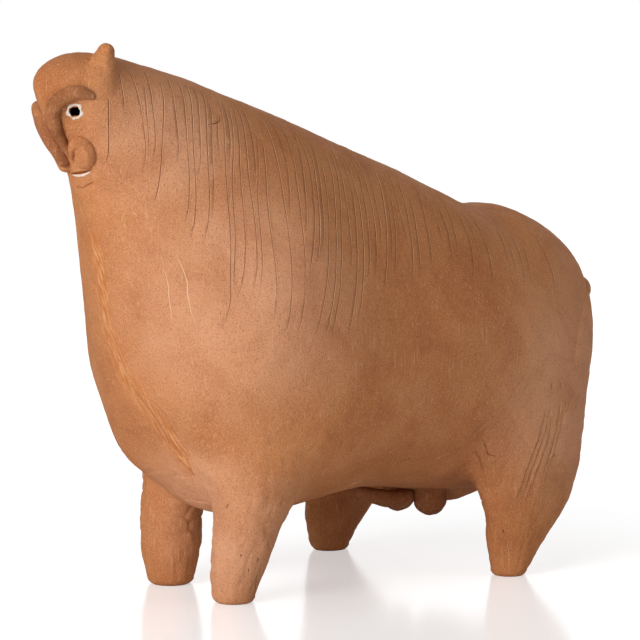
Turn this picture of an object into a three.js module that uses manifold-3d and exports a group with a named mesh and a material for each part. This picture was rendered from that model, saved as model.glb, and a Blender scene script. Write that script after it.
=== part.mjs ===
// Standing bull in fired clay: a hollow hand-built body on four solid stub legs.
// Millimetres, +Z up. The bull faces -Y, its left side is +X, and the soles stand on z = 0.
import * as THREE from "three";
import { mergeVertices } from "three/addons/utils/BufferGeometryUtils.js";
import Module from "manifold-3d";

const wasm = await Module();
wasm.setup();

// Clay and fit
const WALL = 11;              // thickness of the hollow body's wall
const JOINT_GAP = 0.3;        // clearance between pieces that are luted together
const RELIEF_DEPTH = 6;       // how far an applied roll reaches down before its seat is cut

// Side outline of the body, [y, z]: the back runs from rump tip to brow tip, the belly line under it
const RUMP_TIP = [269, 192];
const CROUP = [[266, 273], [212, 307]];
const SADDLE = [164, 311];
const NAPE = [-132, 420];
const CROWN = [[-185, 432], [-237, 438]];
const BROW_TIP = [-269, 413];
const BUTTOCK = [[238, 110], [220, 66]];
const BELLY = [[143, 62], [33, 73], [-81, 62]];
const BRISKET = [[-127, 84], [-167, 143]];
const THROAT = [[-186, 202], [-204, 260], [-221, 319]];
const CHIN = [-237, 359];

// Half widths of the frames between the two tips, from croup to crown, and how pear-shaped each one is
const HALF_WIDTHS = [80, 112, 126, 129, 130, 130, 122, 97, 69, 46, 31];
const PEAR = [0, 0, 0, 0.05, 0.1, 0.17, 0.2, 0.16, 0.08, -0.04, -0.16];
const BACK_FRAMES = 7;        // frames on the straight slope of the back, saddle and nape included

// Where the body is parted, counted in frames from the rump tip
const HIND_SEAM = 3.5;
const NECK_SEAM = 6.5;
const HEAD_SEAM = 9;

// Legs: foot centres [x, y] and sections [height, outward, back, half width, half length]
const FRONT_FEET = { left: [49, -114], right: [53, -101] };
const HIND_FEET = { left: [95, 144], right: [103, 115] };
const FRONT_LEG = [
  [0, 0, 0, 14.5, 14.5], [2.5, 0, 0, 17, 17], [8, 0, 0, 18.5, 18.5], [30, 3, 3, 23, 23],
  [58, 8, 6, 27, 27], [80, 12, 10, 31, 32], [105, 12, 13, 35, 37], [130, 10, 16, 36, 38],
];
const HIND_LEG = [
  [0, 0, 0, 12.5, 12.5], [2.5, 0, 0, 15, 15], [8, 0, 0, 16.5, 16.5], [30, -2, 7, 20, 26],
  [55, -4, 18, 24, 38], [80, -7, 22, 27, 50], [105, -10, 24, 30, 54], [130, -13, 25, 32, 54],
  [158, -18, 25, 32, 50],
];

// Face, placed by heading from the nose in degrees and by height over or under the left eye
const HEAD_AXIS_Y = -205;
const EYE_UNDER_CROWN = 45;
const EYES = { left: { heading: 27, underEye: 0 }, right: { heading: 44, underEye: 11 } };
const EYE_HOLE = 8;
const EYE_RING_WIDTH = 3.2;
const SLIP_THICKNESS = 0.8;
const MOUTH = { heading: 36, underEye: 48, rise: 3, gape: 1.6, depth: 4 };
const LIP_HEIGHT = 1.3;
const NOSTRILS = {
  left: { heading: 25.5, underEye: 31.5, size: [11.8, 14, 6.8] },
  right: { heading: 36, underEye: 37.5, size: [11, 11.5, 6.8] },
};
const NOSTRIL_SLOT = 2.2;

// Brow coils, stop by stop: heading, height over the eyes, radius, and how far the middle lies off the skin
const BROWS = {
  left: [
    [43.5, 12, 3, 1], [37, 14, 4.8, 1.7], [30, 14.7, 5.7, 2.1], [22.5, 12.8, 6, 2.3], [15.5, 8.5, 6, 2.3],
    [10.5, 3.5, 6, 2.3], [7, -3, 5.8, 2.2], [5, -10, 5.5, 2.1], [3, -17, 5.1, 2], [2, -24, 4.8, 1.8],
    [3, -30.5, 4.6, 1.6], [7, -35, 4, 1.4],
  ],
  right: [
    [48, 2.5, 3.2, 2.8], [41, 4.2, 4.4, 4.1], [35, 3.5, 4.6, 4.3], [29.5, 0, 4.6, 3.9], [25.5, -6, 4.7, 3.5],
    [22.5, -12.5, 4.8, 3.1], [20.5, -19, 4.9, 2.8], [19, -26, 4.8, 2.5], [18, -32.5, 4.4, 2.2],
    [17.5, -38.5, 4, 2],
  ],
};

// Ears: foot on the crown [x, y], tip above and outward of it, thickness at foot and tip
const EARS = {
  left: { foot: [22, -222.5], tip: [3.5, 4.5, 11], radius: 12 },
  right: { foot: [33, -217], tip: [9, 4, 3], radius: 10 },
};
const EAR_TIP_SHARE = 0.58;
const EAR_DISH = 6;

// Underside
const TESTICLE_RADIUS = 14;
const TESTICLE_SHAPE = [1, 1, 1.08];
const TESTICLES = { left: [14, 127, 56], right: [-22, 122, 56] };
const SHEATH = [[3, 108, 58], [1, 96, 58], [0, 80, 61], [0, 64, 66], [0, 56, 69]];
const SHEATH_THICKNESS = [8, 8, 7, 5.5, 3.5];

// Tail: route over the rump by frame and by angle from the ridge in degrees, then its tuft
const TAIL_ROUTE = [[0.55, 4], [0.5, 25], [0.75, 42], [1.1, 56], [1.45, 66]];
const TAIL_THICKNESS = [7, 6, 5, 4, 3.5];
const TUFT_ROUTE = [[1.5, 67], [1.75, 74], [2, 83], [2.2, 93], [2.35, 102]];
const TUFT_THICKNESS = [3.5, 7, 9.5, 8, 2.5];

// How flat rolls are pressed, how high the tail lies and how far ends stand out, as shares of the radius
const PRESSED = { brow: 0.9, ear: 0.85, tail: 0.75 };
const TAIL_SEAT = 0.2;
const END_ROUNDING = 0.7;

// Facets
const AROUND = 38;
const ROW_STEP = 0.3;         // frames between rows of facets
const TIP_ROWS = [0.06, 0.2, 0.4, 0.65];
const ROLL_SIDES = 9;
const LEG_SIDES = 24;
const LUMP_SIDES = [16, 10];
const HOLE_SIDES = 16;

const radians = THREE.MathUtils.degToRad;
const vector = (p) => new THREE.Vector3(...p);

// Turns rings of equal length into a closed body, with a cap or a single tip at each end
function closeRings(rings, startTip, endTip) {
  const count = rings[0].length;
  const positions = [startTip, ...rings.flat(), endTip].flatMap((p) => p.toArray());
  const last = rings.length * count + 1;
  const at = (ring, i) => 1 + ring * count + (i % count);
  const index = [];
  for (let i = 0; i < count; i++) {
    index.push(0, at(0, i + 1), at(0, i));
    index.push(last, at(rings.length - 1, i), at(rings.length - 1, i + 1));
    for (let ring = 0; ring + 1 < rings.length; ring++) {
      index.push(at(ring, i), at(ring, i + 1), at(ring + 1, i + 1));
      index.push(at(ring, i), at(ring + 1, i + 1), at(ring + 1, i));
    }
  }
  return toGeometry(positions, index);
}

function toGeometry(positions, index) {
  const geometry = new THREE.BufferGeometry();
  geometry.setAttribute("position", new THREE.Float32BufferAttribute(positions, 3));
  geometry.setIndex(index);
  return geometry;
}

function solid(geometry) {
  const source = geometry.clone();
  source.deleteAttribute("normal");
  source.deleteAttribute("uv");
  const merged = mergeVertices(source, 1e-4);
  return new wasm.Manifold(new wasm.Mesh({
    numProp: 3,
    vertProperties: new Float32Array(merged.attributes.position.array),
    triVerts: new Uint32Array(merged.index.array),
  }));
}

function fromSolid(body) {
  const mesh = body.getMesh();
  const geometry = new THREE.BufferGeometry();
  geometry.setAttribute("position", new THREE.BufferAttribute(mesh.vertProperties, 3));
  geometry.setIndex(new THREE.BufferAttribute(mesh.triVerts, 1));
  geometry.computeVertexNormals();
  return geometry;
}

// The body's skin. One closed curve carries the outline and, as x, the half width: + on the back, - below.
function backSlope(first, last, count) {
  const step = (i) => [0, 1].map((k) => THREE.MathUtils.lerp(first[k], last[k], i / (count - 1)));
  return Array.from({ length: count }, (_, i) => step(i));
}

const backLine = [...CROUP, ...backSlope(SADDLE, NAPE, BACK_FRAMES), ...CROWN];
const bellyLine = [...BUTTOCK, ...BELLY, ...BRISKET, ...THROAT, CHIN];
const outline = new THREE.CatmullRomCurve3([
  vector([0, ...RUMP_TIP]),
  ...backLine.map((p, i) => vector([HALF_WIDTHS[i], ...p])),
  vector([0, ...BROW_TIP]),
  ...bellyLine.map((p, i) => vector([-HALF_WIDTHS[i], ...p])).reverse(),
], true, "catmullrom");
const pears = [PEAR[0], ...PEAR, PEAR.at(-1)];
const pearCurve = new THREE.SplineCurve(pears.map((p, i) => new THREE.Vector2(i, p)));
const FRAMES = backLine.length + 1;

function frameAt(s) {
  const turn = s / (2 * FRAMES);
  const back = outline.getPoint(turn);
  const belly = outline.getPoint((1 - turn) % 1);
  return {
    centre: new THREE.Vector3(0, (back.y + belly.y) / 2, (back.z + belly.z) / 2),
    up: new THREE.Vector3(0, (back.y - belly.y) / 2, (back.z - belly.z) / 2),
    halfWidth: (back.x - belly.x) / 2,
    pear: pearCurve.getPoint(s / FRAMES).y,
  };
}

// A point on the skin: s counts frames from the rump tip, angle runs from the ridge over the left flank
function skinPoint(s, angle) {
  const { centre, up, halfWidth, pear } = frameAt(s);
  const point = centre.clone().addScaledVector(up, Math.cos(angle));
  point.x = halfWidth * Math.sin(angle) * (1 - pear * Math.cos(angle));
  return point;
}

const PROBE = 0.02;
function tipNormal(s) {
  const step = s === 0 ? PROBE : -PROBE;
  const ring = frameAt(s + step);
  return frameAt(s).centre.sub(ring.centre).setX(0).projectOnPlane(ring.up.clone().normalize()).normalize();
}

function headwards(s, angle) {
  const ahead = skinPoint(Math.min(s + PROBE, FRAMES), angle);
  return ahead.sub(skinPoint(Math.max(s - PROBE, 0), angle)).normalize();
}

function skinNormal(s, angle) {
  if (s <= 0 || s >= FRAMES) return tipNormal(s);
  const around = skinPoint(s, angle + PROBE).sub(skinPoint(s, angle - PROBE));
  return headwards(s, angle).cross(around).normalize();
}

function skinAt(s, angle, rise = 0) {
  return skinPoint(s, angle).addScaledVector(skinNormal(s, angle), rise);
}

// Rows of frames, closer together near the two tips where the skin turns in
function rowsBetween(from, to) {
  const rows = [...TIP_ROWS];
  for (let s = 0.9; s < FRAMES - 0.8; s += ROW_STEP) rows.push(s);
  rows.push(...TIP_ROWS.map((s) => FRAMES - s).reverse());
  const margin = ROW_STEP / 4;
  return [...(from > 0 ? [from] : []), ...rows.filter((s) => s > from + margin && s < to - margin),
    ...(to < FRAMES ? [to] : [])];
}

function ringAt(s, rise) {
  return Array.from({ length: AROUND }, (_, i) => skinAt(s, -(i / AROUND) * 2 * Math.PI, rise));
}

function skinBody(rise) {
  const rows = rowsBetween(0, FRAMES);
  return closeRings(rows.map((s) => ringAt(s, rise)), skinAt(0, 0, rise), skinAt(FRAMES, 0, rise));
}

// A length of the hollow body, open where it meets its neighbours, its seams square to the wall
function shellBetween(from, to) {
  const rows = rowsBetween(from, to);
  const positions = [];
  const index = [];
  const setback = (s) => {
    if (s === from && from > 0) return JOINT_GAP / 2;
    return s === to && to < FRAMES ? -JOINT_GAP / 2 : 0;
  };
  for (const rise of [0, -WALL]) {
    for (const s of rows) {
      ringAt(s, rise).forEach((point, i) => {
        const shift = headwards(s, -(i / AROUND) * 2 * Math.PI).multiplyScalar(setback(s));
        positions.push(...point.add(shift).toArray());
      });
    }
  }
  const at = (skin, row, i) => (skin * rows.length + row) * AROUND + (i % AROUND);
  const quad = (a, b, c, d) => index.push(a, b, c, a, c, d);
  const lastRow = rows.length - 1;
  for (let i = 0; i < AROUND; i++) {
    for (let row = 0; row < lastRow; row++) {
      quad(at(0, row, i), at(0, row, i + 1), at(0, row + 1, i + 1), at(0, row + 1, i));
      quad(at(1, row, i), at(1, row + 1, i), at(1, row + 1, i + 1), at(1, row, i + 1));
    }
    if (from > 0) quad(at(0, 0, i), at(1, 0, i), at(1, 0, i + 1), at(0, 0, i + 1));
    if (to < FRAMES) {
      quad(at(0, lastRow, i), at(0, lastRow, i + 1), at(1, lastRow, i + 1), at(1, lastRow, i));
    }
  }
  for (const [skin, rise] of [[0, 0], [1, -WALL]]) {
    const tip = positions.length / 3;
    if (from === 0) positions.push(...skinAt(0, 0, rise).toArray());
    if (to === FRAMES) positions.push(...skinAt(FRAMES, 0, rise).toArray());
    for (let i = 0; i < AROUND; i++) {
      const pair = skin === 0 ? [i + 1, i] : [i, i + 1];
      if (from === 0) index.push(tip, at(skin, 0, pair[0]), at(skin, 0, pair[1]));
      if (to === FRAMES) index.push(tip, at(skin, lastRow, pair[1]), at(skin, lastRow, pair[0]));
    }
  }
  return solid(toGeometry(positions, index));
}

const skin = new THREE.Mesh(skinBody(0), new THREE.MeshStandardMaterial({ side: THREE.DoubleSide }));
const seatCutter = solid(skinBody(JOINT_GAP));
const slipSurface = solid(skinBody(JOINT_GAP + SLIP_THICKNESS));
const ray = new THREE.Raycaster();

// First point of the skin met from outside, with the skin's outward direction there
function cast(from, direction) {
  ray.set(from, direction.clone().normalize());
  const hit = ray.intersectObject(skin)[0];
  const normal = hit.face.normal.clone();
  if (normal.dot(direction) > 0) normal.negate();
  return { point: hit.point, normal };
}

const REACH = 400;            // how far outside the body a cast starts
const EYE_HEIGHT = CROWN.at(-1)[1] - EYE_UNDER_CROWN;
function onHead(heading, height, rise = 0) {
  const outward = new THREE.Vector3(Math.sin(radians(heading)), -Math.cos(radians(heading)), 0);
  const axis = new THREE.Vector3(0, HEAD_AXIS_Y, height);
  const { point, normal } = cast(axis.clone().addScaledVector(outward, REACH), outward.negate());
  return { point: point.addScaledVector(normal, rise), normal };
}

function onCrown(x, y) {
  return cast(new THREE.Vector3(x, y, REACH + REACH), new THREE.Vector3(0, 0, -1));
}

function normalAlong(normals, t) {
  const spot = t * (normals.length - 1);
  const low = Math.min(Math.floor(spot), normals.length - 2);
  return normals[low].clone().lerp(normals[low + 1], spot - low).normalize();
}

// A hand-rolled coil of changing thickness laid along a path, its ends rounded off
function roll(path, radii, flatten = 1, up = null) {
  const curve = new THREE.CatmullRomCurve3(path, false, "centripetal");
  const thickness = new THREE.SplineCurve(radii.map((r, i) => new THREE.Vector2(i, r)));
  const steps = (path.length - 1) * 2;
  const rings = [];
  for (let k = 0; k <= steps; k++) {
    const t = k / steps;
    const centre = curve.getPoint(t);
    const along = curve.getTangent(t);
    const lift = (up ? up(t) : new THREE.Vector3(0, 0, 1)).clone().projectOnPlane(along).normalize();
    const side = lift.clone().cross(along);
    const r = thickness.getPoint(t).y;
    rings.push(Array.from({ length: ROLL_SIDES }, (_, i) => {
      const a = (i / ROLL_SIDES) * 2 * Math.PI;
      const across = centre.clone().addScaledVector(side, r * Math.cos(a));
      return across.addScaledVector(lift, r * flatten * Math.sin(a));
    }));
  }
  const startTip = path[0].clone().addScaledVector(curve.getTangent(0), -radii[0] * END_ROUNDING);
  const endTip = path.at(-1).clone().addScaledVector(curve.getTangent(1), radii.at(-1) * END_ROUNDING);
  return solid(closeRings(rings, startTip, endTip));
}

// A rounded lump on three axes, turned so that its third axis points along a direction
function lump(centre, sizes, direction = new THREE.Vector3(0, 0, 1)) {
  const geometry = new THREE.SphereGeometry(1, ...LUMP_SIDES);
  geometry.scale(...sizes);
  geometry.applyQuaternion(new THREE.Quaternion().setFromUnitVectors(new THREE.Vector3(0, 0, 1), direction));
  geometry.translate(...centre.toArray());
  return solid(geometry);
}

function drill(centre, direction, radius, length) {
  const geometry = new THREE.CylinderGeometry(radius, radius, length, HOLE_SIDES);
  geometry.applyQuaternion(new THREE.Quaternion().setFromUnitVectors(new THREE.Vector3(0, 1, 0), direction));
  geometry.translate(...centre.toArray());
  return solid(geometry);
}

const onBody = (piece) => piece.subtract(seatCutter);
const without = (piece, neighbours) => neighbours.reduce((rest, other) => rest.subtract(other), piece);
const sides = { left: 1, right: -1 };
const eyes = {};
for (const [name, side] of Object.entries(sides)) {
  eyes[name] = onHead(EYES[name].heading * side, EYE_HEIGHT - EYES[name].underEye);
}

// Head: eye holes right through the wall, and the mouth cut as a slit that rises towards its corners
function mouthPath(drop = 0) {
  const stops = [-1, -0.6, -0.2, 0.2, 0.6, 1];
  const height = EYE_HEIGHT - MOUTH.underEye - drop;
  return stops.map((t) => onHead(MOUTH.heading * t, height + MOUTH.rise * t * t).point);
}

function headShell() {
  let head = shellBetween(HEAD_SEAM, FRAMES);
  for (const eye of Object.values(eyes)) {
    head = head.subtract(drill(eye.point, eye.normal, EYE_HOLE / 2, 4 * WALL));
  }
  const depths = [0.8, 1, 1, 1, 1, 0.8].map((k) => k * MOUTH.depth);
  const slit = roll(mouthPath(), depths, MOUTH.gape / 2 / MOUTH.depth);
  return head.subtract(slit);
}

// A ring of slip, a thin coat of white liquid clay, painted round each eye hole
function eyeRing({ point, normal }, neighbours) {
  const inner = EYE_HOLE / 2 + JOINT_GAP;
  const coat = drill(point, normal, inner + EYE_RING_WIDTH, 2 * RELIEF_DEPTH);
  const hole = drill(point, normal, inner, 4 * RELIEF_DEPTH);
  return without(onBody(coat.intersect(slipSurface)).subtract(hole), neighbours);
}

function lipSlip(neighbours) {
  const drop = MOUTH.gape / 2 + JOINT_GAP + LIP_HEIGHT;
  const band = roll(mouthPath(drop), [0.3, 0.9, 1, 1, 0.9, 0.3].map((k) => k * LIP_HEIGHT));
  return without(onBody(band.intersect(slipSurface)), neighbours);
}

function browCoil(name, side, clearance = 0) {
  const stops = BROWS[name].map(([heading, over, , off]) => onHead(heading * side, EYE_HEIGHT + over, off));
  const radii = BROWS[name].map(([, , r]) => r + clearance);
  const normals = stops.map(({ normal }) => normal);
  return roll(stops.map(({ point }) => point), radii, PRESSED.brow, (t) => normalAlong(normals, t));
}

// Nostril: a flat disc of rolled clay with a slot where the roll turns in
function nostrilCurl(name, side, clearance = 0) {
  const { heading, underEye, size } = NOSTRILS[name];
  const { point, normal } = onHead(heading * side, EYE_HEIGHT - underEye);
  const disc = lump(point, size.map((half) => half + clearance), normal);
  const noseward = new THREE.Vector3(-side, 0, 0).projectOnPlane(normal).normalize();
  const slotCentre = point.clone().addScaledVector(noseward, size[0] * 0.3).addScaledVector(normal, size[2]);
  const slot = lump(slotCentre, [NOSTRIL_SLOT, NOSTRIL_SLOT * 2, size[2] * 0.7], normal);
  return clearance ? disc : onBody(disc.subtract(slot));
}

// Ear: a stub pinched up from a pad of clay, its front pressed in with a thumb
function ear({ foot, tip, radius }, side) {
  const { point, normal } = onCrown(foot[0] * side, foot[1]);
  const top = point.clone().add(new THREE.Vector3(tip[0] * side, tip[1], tip[2]));
  const root = point.clone().addScaledVector(normal, -RELIEF_DEPTH);
  const radii = [0.8, 1, 0.8, EAR_TIP_SHARE].map((k) => k * radius);
  const path = [root, point, point.clone().lerp(top, 0.55), top];
  const stub = roll(path, radii, PRESSED.ear, () => new THREE.Vector3(0, -1, 0));
  const dishCentre = point.clone().lerp(top, 0.45).add(new THREE.Vector3(0, -radius, 0));
  const dish = lump(dishCentre, [EAR_DISH * 0.6, EAR_DISH * 0.5, EAR_DISH]);
  return onBody(stub.subtract(dish));
}

// Leg: a solid stub that swells into a shoulder or haunch and is cut to sit against the body
function leg(sections, [x, y], side) {
  const rings = sections.map(([z, outward, back, halfWidth, halfLength]) =>
    Array.from({ length: LEG_SIDES }, (_, i) => {
      const a = (i / LEG_SIDES) * 2 * Math.PI;
      return new THREE.Vector3(
        side * (x + outward) + halfWidth * Math.cos(a), y + back + halfLength * Math.sin(a), z);
    }));
  const centreOf = ([z, outward, back]) => new THREE.Vector3(side * (x + outward), y + back, z);
  return onBody(solid(closeRings(rings, centreOf(sections[0]), centreOf(sections.at(-1)))));
}

function alongSkin(route, radii, clearance = 0) {
  const path = route.map(([s, angle], i) => skinAt(s, radians(angle), radii[i] * TAIL_SEAT));
  const normals = route.map(([s, angle]) => skinNormal(s, radians(angle)));
  return roll(path, radii.map((r) => r + clearance), PRESSED.tail, (t) => normalAlong(normals, t));
}

const terracotta = { color: 0xbe825f, roughness: 0.7, metalness: 0 };
const whiteSlip = { color: 0xebe4d7, roughness: 0.6, metalness: 0 };
const bull = new THREE.Group();

function place(name, body, finish = terracotta) {
  const mesh = new THREE.Mesh(fromSolid(body), new THREE.MeshStandardMaterial(finish));
  mesh.name = name;
  bull.add(mesh);
}

place("hindquarters_shell", shellBetween(0, HIND_SEAM));
place("barrel_shell", shellBetween(HIND_SEAM, NECK_SEAM));
place("neck_shell", shellBetween(NECK_SEAM, HEAD_SEAM));
place("head_shell", headShell());

const coilClear = Object.entries(sides).map(([name, side]) => browCoil(name, side, JOINT_GAP));
const curlClear = Object.entries(sides).map(([name, side]) => nostrilCurl(name, side, JOINT_GAP));
for (const [name, side] of Object.entries(sides)) {
  place(`leg_front_${name}`, leg(FRONT_LEG, FRONT_FEET[name], side));
  place(`leg_hind_${name}`, leg(HIND_LEG, HIND_FEET[name], side));
  const laidFirst = name === "right" ? [coilClear[0]] : [];
  place(`brow_coil_${name}`, without(onBody(browCoil(name, side)), laidFirst));
  place(`nostril_curl_${name}`, without(nostrilCurl(name, side), coilClear));
  place(`eye_ring_${name}`, eyeRing(eyes[name], [...coilClear, ...curlClear]), whiteSlip);
  place(`ear_${name}`, ear(EARS[name], side));
}

place("lip_slip", lipSlip([...coilClear, ...curlClear]), whiteSlip);

const testicle = (name, clearance = 0) =>
  lump(vector(TESTICLES[name]), TESTICLE_SHAPE.map((k) => k * TESTICLE_RADIUS + clearance));
const sheath = roll(SHEATH.map(vector), SHEATH_THICKNESS);
place("testicle_left", onBody(testicle("left")));
place("testicle_right", onBody(testicle("right").subtract(testicle("left", JOINT_GAP))));
place("sheath", onBody(sheath.subtract(testicle("left", JOINT_GAP)).subtract(testicle("right", JOINT_GAP))));

const tuft = (clearance) => alongSkin(TUFT_ROUTE, TUFT_THICKNESS, clearance);
place("tail_tuft", onBody(tuft(0)));
place("tail", onBody(alongSkin(TAIL_ROUTE, TAIL_THICKNESS).subtract(tuft(JOINT_GAP))));

// The origin is the middle of the space that the bull stands in, on the floor
const space = new THREE.Box3().setFromObject(bull);
const middle = space.getCenter(new THREE.Vector3());
bull.position.set(-middle.x, -middle.y, -space.min.z);

export default bull;
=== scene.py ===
import bmesh
import bpy
import numpy as np
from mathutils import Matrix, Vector, noise
from mathutils.bvhtree import BVHTree


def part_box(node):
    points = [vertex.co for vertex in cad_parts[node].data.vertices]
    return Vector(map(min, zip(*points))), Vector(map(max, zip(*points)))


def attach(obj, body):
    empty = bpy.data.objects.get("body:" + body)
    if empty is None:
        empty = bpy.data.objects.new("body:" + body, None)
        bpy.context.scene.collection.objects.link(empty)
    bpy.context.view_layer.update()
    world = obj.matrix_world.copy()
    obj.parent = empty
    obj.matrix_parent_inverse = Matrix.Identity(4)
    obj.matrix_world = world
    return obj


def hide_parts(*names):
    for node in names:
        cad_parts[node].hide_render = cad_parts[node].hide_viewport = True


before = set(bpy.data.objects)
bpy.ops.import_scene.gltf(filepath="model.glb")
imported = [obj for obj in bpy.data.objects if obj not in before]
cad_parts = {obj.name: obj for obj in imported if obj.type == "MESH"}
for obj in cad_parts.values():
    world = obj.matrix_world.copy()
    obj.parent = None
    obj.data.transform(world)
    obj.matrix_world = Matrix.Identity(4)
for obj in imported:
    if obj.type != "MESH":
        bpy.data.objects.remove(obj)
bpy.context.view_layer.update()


# Studio: a white glossy table top in a white room, seen with a long lens from the bull's front left.
# The gloss gives the faint mirror images under the feet, which fade with height.
def linear(colour):
    channels = [int(colour[i:i + 2], 16) / 255 for i in (1, 3, 5)]
    return [c / 12.92 if c <= 0.04045 else ((c + 0.055) / 1.055) ** 2.4 for c in channels] + [1]


def add_node(tree, kind, settings={}, inputs={}):
    node = tree.nodes.new(kind)
    for name, value in settings.items():
        setattr(node, name, value)
    for name, value in inputs.items():
        if isinstance(value, bpy.types.NodeSocket):
            tree.links.new(value, node.inputs[name])
        else:
            node.inputs[name].default_value = value
    return node


scene = bpy.context.scene
scene.view_settings.view_transform = "Standard"

looking_at = Vector((-0.0305, 0.0359, 0.2127))
azimuth, elevation = np.radians(50.5), np.radians(5.0)
backwards = Vector((
    np.sin(azimuth) * np.cos(elevation), -np.cos(azimuth) * np.cos(elevation), np.sin(elevation)))
camera_data = bpy.data.cameras.new("camera")
camera_data.lens = 168.75
camera_data.sensor_width = 36
camera = bpy.data.objects.new("camera", camera_data)
camera.location = looking_at + backwards * 2.544
camera.rotation_euler = (-backwards).to_track_quat("-Z", "Y").to_euler()
scene.collection.objects.link(camera)
scene.camera = camera

table_bm = bmesh.new()
bmesh.ops.create_grid(table_bm, x_segments=1, y_segments=1, size=6)
table_mesh = bpy.data.meshes.new("table_top")
table_bm.to_mesh(table_mesh)
table_bm.free()
table = bpy.data.objects.new("table_top", table_mesh)
scene.collection.objects.link(table)

white_lacquer = bpy.data.materials.new("white_lacquered_board")
white_lacquer.use_nodes = True
tree = white_lacquer.node_tree
tree.nodes.clear()
seen = add_node(tree, "ShaderNodeLightPath")
body_colour = add_node(tree, "ShaderNodeBsdfDiffuse", inputs={"Color": linear("#D6D6D6")})
from_feet = add_node(tree, "ShaderNodeVectorMath", {"operation": "LENGTH"}, {
    0: add_node(tree, "ShaderNodeTexCoord").outputs["Object"]})
fade = add_node(tree, "ShaderNodeMapRange", inputs={
    "Value": from_feet.outputs["Value"], "From Min": 0.35, "From Max": 1.0, "To Min": 0.74, "To Max": 1.0})
glow = add_node(tree, "ShaderNodeEmission", inputs={
    "Color": linear("#FFFFFF"), "Strength": fade.outputs["Result"]})
lit_board = add_node(tree, "ShaderNodeAddShader", inputs={0: body_colour.outputs[0], 1: glow.outputs[0]})
seen_board = add_node(tree, "ShaderNodeMixShader", inputs={
    0: seen.outputs["Is Camera Ray"], 1: body_colour.outputs[0], 2: lit_board.outputs[0]})
gloss = add_node(tree, "ShaderNodeBsdfGlossy", inputs={"Color": linear("#FFFFFF"), "Roughness": 0.16})
polished = add_node(tree, "ShaderNodeMixShader", inputs={
    0: 0.34, 1: seen_board.outputs[0], 2: gloss.outputs[0]})
add_node(tree, "ShaderNodeOutputMaterial", inputs={0: polished.outputs[0]})
table_mesh.materials.append(white_lacquer)

world = bpy.data.worlds.new("studio")
world.use_nodes = True
scene.world = world
tree = world.node_tree
tree.nodes.clear()
seen = add_node(tree, "ShaderNodeLightPath")
direct = add_node(tree, "ShaderNodeMath", {"operation": "MAXIMUM"}, {
    0: seen.outputs["Is Camera Ray"], 1: seen.outputs["Is Glossy Ray"]})
strength = add_node(tree, "ShaderNodeMapRange", inputs={
    "Value": direct.outputs[0], "To Min": 0.12, "To Max": 1.0})
room = add_node(tree, "ShaderNodeBackground", inputs={
    "Color": linear("#FFFFFF"), "Strength": strength.outputs["Result"]})
add_node(tree, "ShaderNodeOutputWorld", inputs={0: room.outputs[0]})

for name, size, power, place in (
        ("softbox_front", 1.5, 44, (0.55, -2.2, 0.85)),
        ("softbox_top", 1.2, 7.5, (0.1, -0.2, 2.2)),
        ("softbox_left", 1.0, 7, (1.8, 1.3, 0.8))):
    lamp = bpy.data.lights.new(name, "AREA")
    lamp.shape = "DISK"
    lamp.size = size
    lamp.energy = power
    softbox = bpy.data.objects.new(name, lamp)
    softbox.location = place
    softbox.rotation_euler = (Vector((0, 0, 0.22)) - Vector(place)).to_track_quat("-Z", "Y").to_euler()
    scene.collection.objects.link(softbox)


# Body: a hollow clay wall built up by hand in four lengths that are luted together, scraped and smoothed
# over, then combed on both flanks with a needle. Millimetres here; a piece is turned to metres as it is made.
# Drawn from the side as (y, z) spots of the back and the belly in pairs, with half the width at each pair
# and how far the widest part sinks there. The wall is 11 mm thick; shift carries the drawing on to the frame.
saddle, nape = (164, 311), (-132, 420)
slope = [tuple(np.array(saddle) + (np.array(nape) - saddle) * i / 6) for i in range(7)]
back = [(266, 273), (212, 307), *slope, (-185, 432), (-237, 438)]
belly = [(238, 110), (220, 66), (143, 62), (33, 73), (-81, 62), (-127, 84),
         (-167, 143), (-186, 202), (-204, 260), (-221, 319), (-237, 359)]
half_widths = [80, 112, 126, 129, 130, 130, 122, 97, 69, 46, 31]
pear = np.array([0, 0, 0, 0, 0.05, 0.1, 0.17, 0.2, 0.16, 0.08, -0.04, -0.16, -0.16])
outline = np.array(
    [(0, 269, 192)] + [(w, *p) for w, p in zip(half_widths, back)]
    + [(0, -269, 413)] + [(-w, *p) for w, p in zip(half_widths, belly)][::-1], float)
wall = 11
shift = np.array((0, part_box("head_shell")[0][1] * 1000 + 269, 0))


def spline(before, start, end, after, part):
    return 0.5 * (2 * start + (end - before) * part + (2 * before - 5 * start + 4 * end - after) * part ** 2
                  + (3 * start - before - 3 * end + after) * part ** 3)


def round_outline(place):
    low = np.floor(place).astype(int)
    corners = (outline[(low + step) % 24] for step in (-1, 0, 1, 2))
    return spline(*corners, (place - low)[..., None])


def along(values, place):
    values = np.asarray(values, float)
    low = np.clip(np.floor(place).astype(int), 0, len(values) - 2)
    corners = [values[np.clip(low + step, 0, len(values) - 1)] for step in (-1, 0, 1, 2)]
    part = np.asarray(place - low)
    return spline(*corners, part if values.ndim == 1 else part[..., None])


def skin(place, angle):
    """A point of the smooth body: place in frames from the rump, angle from the ridge over the left flank."""
    top, bottom = round_outline(place), round_outline((24 - place) % 24)
    centre, rise = (top + bottom)[..., 1:] / 2, (top - bottom)[..., 1:] / 2
    across = (top - bottom)[..., 0] / 2 * np.sin(angle) * (1 - along(pear, place) * np.cos(angle))
    return np.concatenate([across[..., None], centre + rise * np.cos(angle)[..., None]], -1)


def unit(vectors):
    return vectors / np.linalg.norm(vectors, axis=-1, keepdims=True)


def skin_normal(place, angle):
    ahead = skin(np.minimum(place + 0.02, 12), angle) - skin(np.maximum(place - 0.02, 0), angle)
    around = skin(place, angle + 0.02) - skin(place, angle - 0.02)
    return unit(np.cross(ahead, around))


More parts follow.
